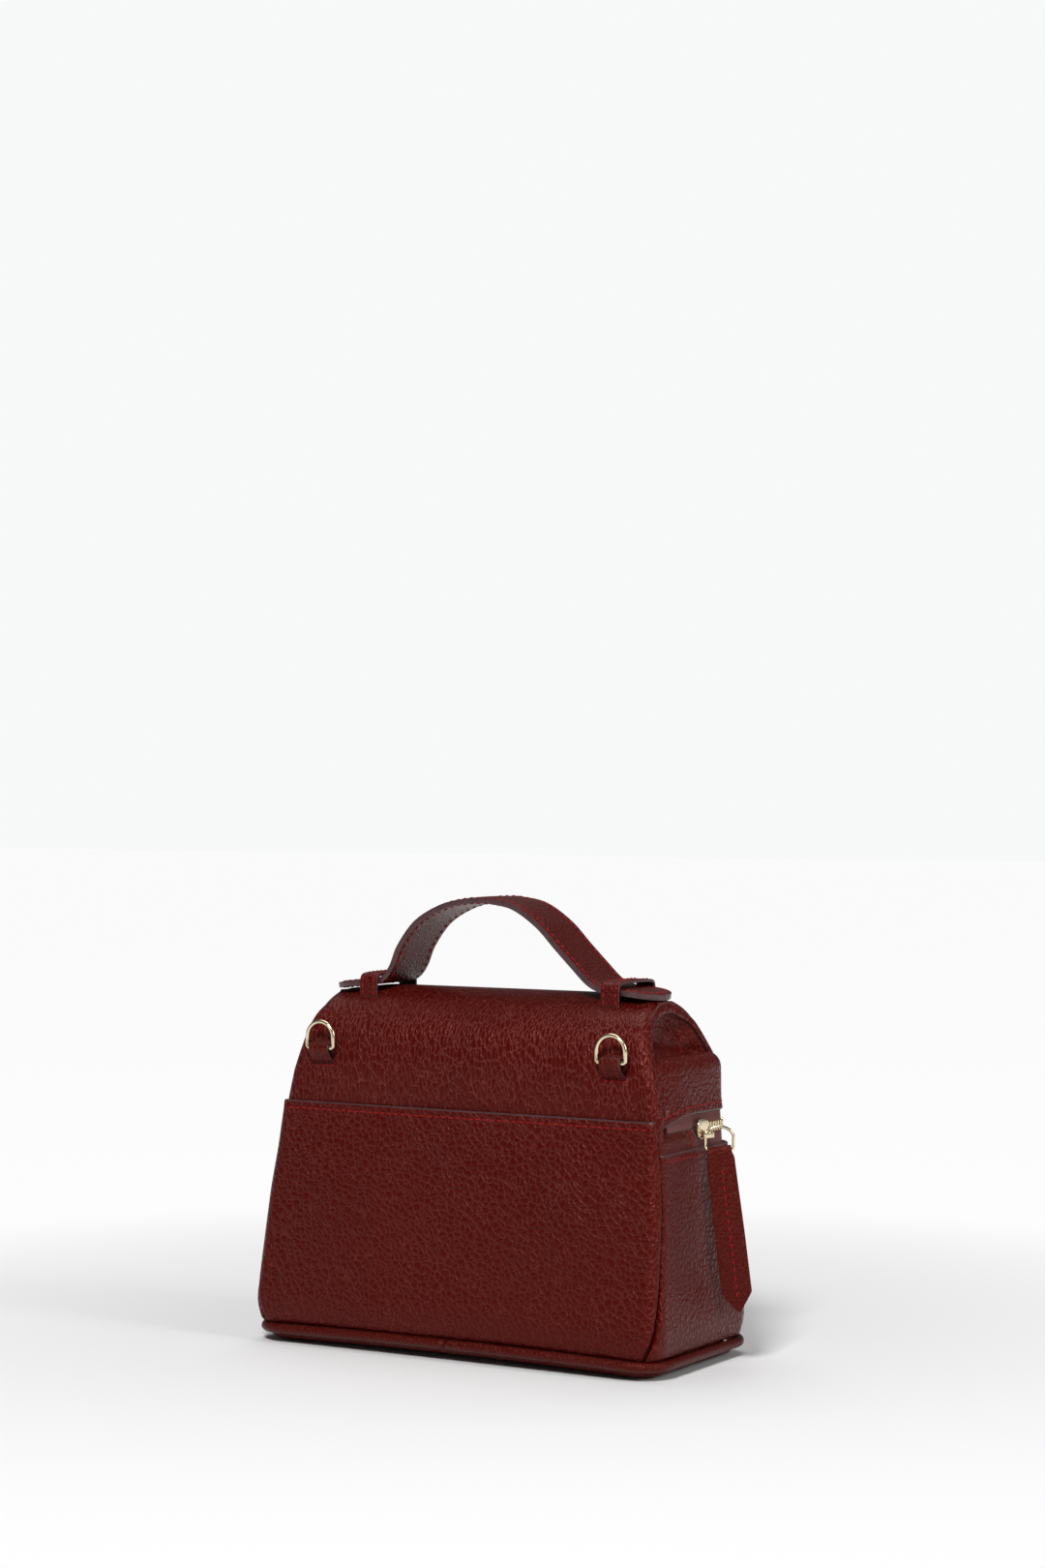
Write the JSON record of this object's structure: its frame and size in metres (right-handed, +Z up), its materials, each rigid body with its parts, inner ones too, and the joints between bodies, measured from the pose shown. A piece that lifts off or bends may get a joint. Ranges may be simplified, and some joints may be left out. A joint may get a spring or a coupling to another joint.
{
  "type": "satchel bag",
  "caption": "Small rigid satchel handbag with a zipped lid, sliding top strap handle, rear slip pocket and side D-rings on the back.",
  "frame": {"origin": "centre of the base, on the floor plane", "axes": "+X to the bag's right seen from its front, -Y out of the front, +Y out of the slip-pocket back, +Z up"},
  "size_m": [0.2445, 0.1022, 0.2194],
  "materials": {
    "leather": "pebbled, semi-gloss",
    "lining": "plain woven",
    "board": "stiffener board",
    "tape": "woven tape",
    "gold": "polished pale gold"
  },
  "bodies": {
    "body": {"base_panel": "leather", "base_board": "board", "base_piping": "leather", "back_pocket": "leather", "back_panel": "leather", "front_panel": "leather", "side_panel_left": "leather", "side_panel_right": "leather", "zip_end_patch_left": "leather", "zip_end_patch_right": "leather", "zip_tape_lower": "tape", "zip_teeth_lower": "gold", "lining_body": "lining"},
    "lid": {"lid_top_panel": "leather", "lid_lining": "lining", "lid_front_band": "leather", "lid_gusset_left": "leather", "lid_gusset_right": "leather", "zip_tape_upper": "tape", "zip_teeth_upper": "gold", "d_ring_tab_left": "leather", "d_ring_tab_right": "leather", "handle_loop_left": "leather", "handle_loop_right": "leather", "handle_leg_left": "leather", "handle_leg_right": "leather"},
    "ring_left": {"d_ring_left": "gold"},
    "ring_right": {"d_ring_right": "gold"},
    "arch": {"handle_arch": "leather"},
    "strap_end_left": {"handle_end_left": "leather"},
    "strap_end_right": {"handle_end_right": "leather"},
    "slider": {"zip_slider": "gold"},
    "pull_loop": {"pull_ring": "gold"},
    "pull": {"pull_tab": "leather"}
  },
  "joints": [
    {"name": "lid_open", "type": "hinge", "parent": "body", "child": "lid", "pos_m": [0, 0.0385, 0.118], "axis": [-1, 0, 0], "range_deg": [0, 95]},
    {"name": "ring_left_swing", "type": "hinge", "parent": "lid", "child": "ring_left", "pos_m": [0.082, 0.0382, 0.1448], "axis": [-1, 0, 0], "range_deg": [-20, 160]},
    {"name": "ring_right_swing", "type": "hinge", "parent": "lid", "child": "ring_right", "pos_m": [-0.082, 0.0382, 0.1448], "axis": [-1, 0, 0], "range_deg": [-20, 160]},
    {"name": "handle_drop", "type": "slide", "parent": "lid", "child": "arch", "axis": [0, 0, -1], "range_m": [0, 0.018], "deforming": ["handle_leg_left", "handle_leg_right"]},
    {"name": "strap_left_slide", "type": "slide", "parent": "arch", "child": "strap_end_left", "axis": [0.5735, 0, 0.8192], "range_m": [0, 0.022]},
    {"name": "strap_right_slide", "type": "slide", "parent": "arch", "child": "strap_end_right", "axis": [-0.5735, 0, 0.8192], "range_m": [0, 0.022]},
    {"name": "slider_run", "type": "slide", "parent": "body", "child": "slider", "axis": [0, -1, 0], "range_m": [0, 0.015]},
    {"name": "pull_loop_turn", "type": "hinge", "parent": "slider", "child": "pull_loop", "pos_m": [-0.10987, -0.0065, 0.1086], "axis": [0, 0, 1], "range_deg": [-31, 21]},
    {"name": "pull_swing", "type": "hinge", "parent": "pull_loop", "child": "pull", "pos_m": [-0.11561, -0.00995, 0.1016], "axis": [0.8572, 0.515, 0], "range_deg": [-3, 85]}
  ],
  "couplings": [
    {"joint": "strap_left_slide", "follows": "handle_drop", "ratio": 1.2207},
    {"joint": "strap_right_slide", "follows": "handle_drop", "ratio": 1.2207}
  ]
}
